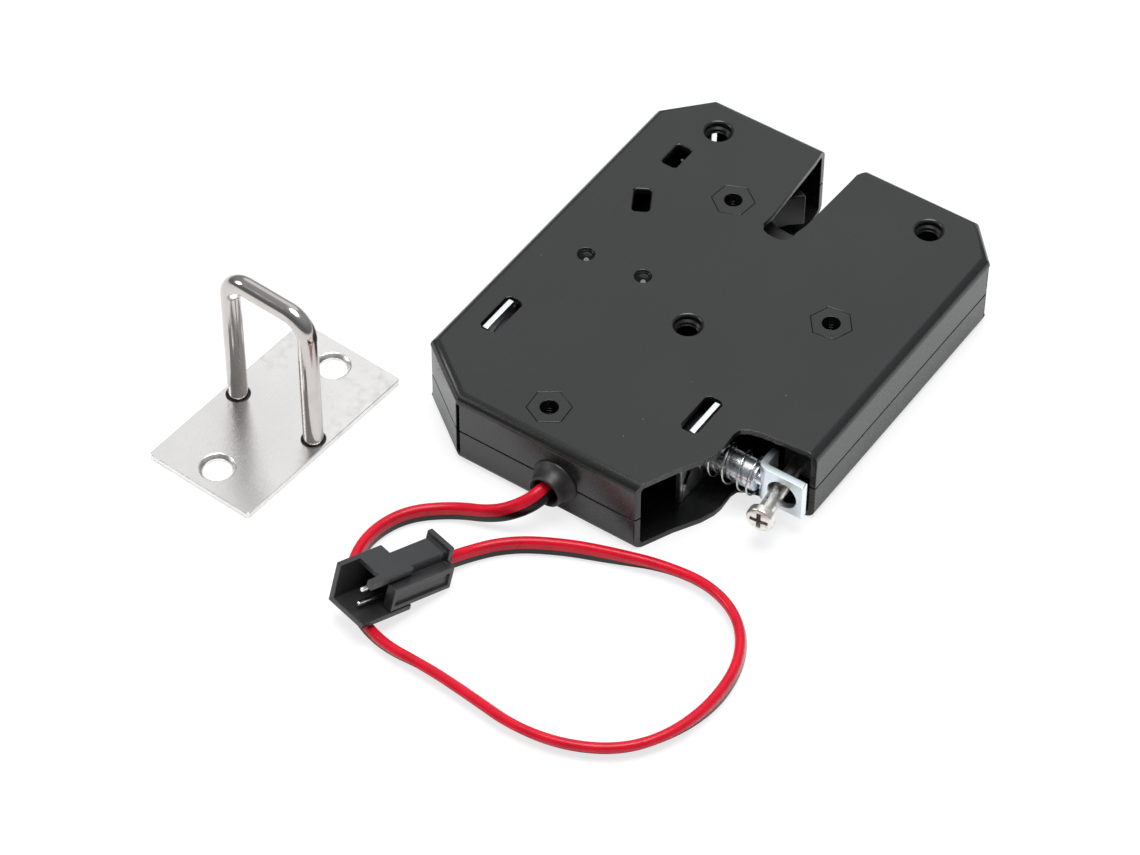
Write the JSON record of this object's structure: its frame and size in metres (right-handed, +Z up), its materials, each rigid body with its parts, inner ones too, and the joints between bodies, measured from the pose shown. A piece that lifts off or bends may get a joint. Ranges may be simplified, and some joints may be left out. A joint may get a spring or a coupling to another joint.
{
  "type": "electromagnetic lock",
  "caption": "Flat sheet-metal cabinet lock with a staple slot, solenoid-pulled latch, lead with plug and a separate U staple strike.",
  "frame": {"origin": "middle of the case underside, between its two long sides and its two end walls", "axes": "X across the case towards the plunger side, Y along the case towards the mouth of the staple slot, Z up through the cover"},
  "size_m": [0.0941, 0.1112, 0.0268],
  "materials": {
    "black_paint": "satin black baked coat on sheet steel",
    "zinc_sheet": "bright plated steel sheet, faint rolling grain",
    "nickel": "turned steel, nickel plated, satin",
    "dark_steel": "blackened steel, rounded edges",
    "blue_zinc": "blue passivated zinc plate",
    "spring_steel": "bright drawn spring wire",
    "bobbin_plastic": "moulded off-white nylon",
    "copper_wire": "enamelled copper winding",
    "coil_tape": "thin black film tape",
    "black_rubber": "moulded matte rubber",
    "lead_jacket": "soft pvc pair, one wire red and one black",
    "black_plastic": "moulded nylon",
    "tin_plate": "tinned contact"
  },
  "bodies": {
    "case": {"cover": "black_paint", "base": "black_paint", "standoff_latch": "black_paint", "standoff_pawl": "black_paint", "standoff_rear": "black_paint", "case_screws": "nickel", "solenoid_yoke": "zinc_sheet", "yoke_end_plate": "zinc_sheet", "bobbin": "bobbin_plastic", "coil_winding": "copper_wire", "coil_tape": "coil_tape", "fixed_core": "nickel", "plunger_spring": "spring_steel", "latch_spring": "spring_steel", "grommet": "black_rubber", "lead": "lead_jacket", "connector_housing": "black_plastic", "contact_pins": "tin_plate", "strike_plate": "zinc_sheet", "strike_staple": "nickel"},
    "latch": {"latch_hook": "dark_steel"},
    "pawl": {"pawl_lever": "dark_steel", "pawl_bush": "nickel", "release_screw": "nickel"},
    "plunger": {"plunger": "nickel", "plunger_bracket": "blue_zinc"}
  },
  "joints": [
    {"name": "plunger_slide", "type": "slide", "parent": "case", "child": "plunger", "axis": [-1, 0, 0], "range_m": [0, 0.0045], "stiffness_N_per_m": 150, "springref_m": -0.003, "deforming": ["plunger_spring"]},
    {"name": "pawl_hinge", "type": "hinge", "parent": "case", "child": "pawl", "pos_m": [0.0169, 0.0061, 0.006], "axis": [0, 0, 1], "range_deg": [-5.8, 0]},
    {"name": "latch_hinge", "type": "hinge", "parent": "case", "child": "latch", "pos_m": [-0.00865, 0.01935, 0.006], "axis": [0, 0, 1], "range_deg": [-50, 0], "stiffness_Nm_per_rad": 0.01, "springref_deg": 14.32, "deforming": ["latch_spring"]}
  ],
  "couplings": [
    {"joint": "pawl_hinge", "follows": "plunger_slide", "rad_per_m": -22}
  ]
}
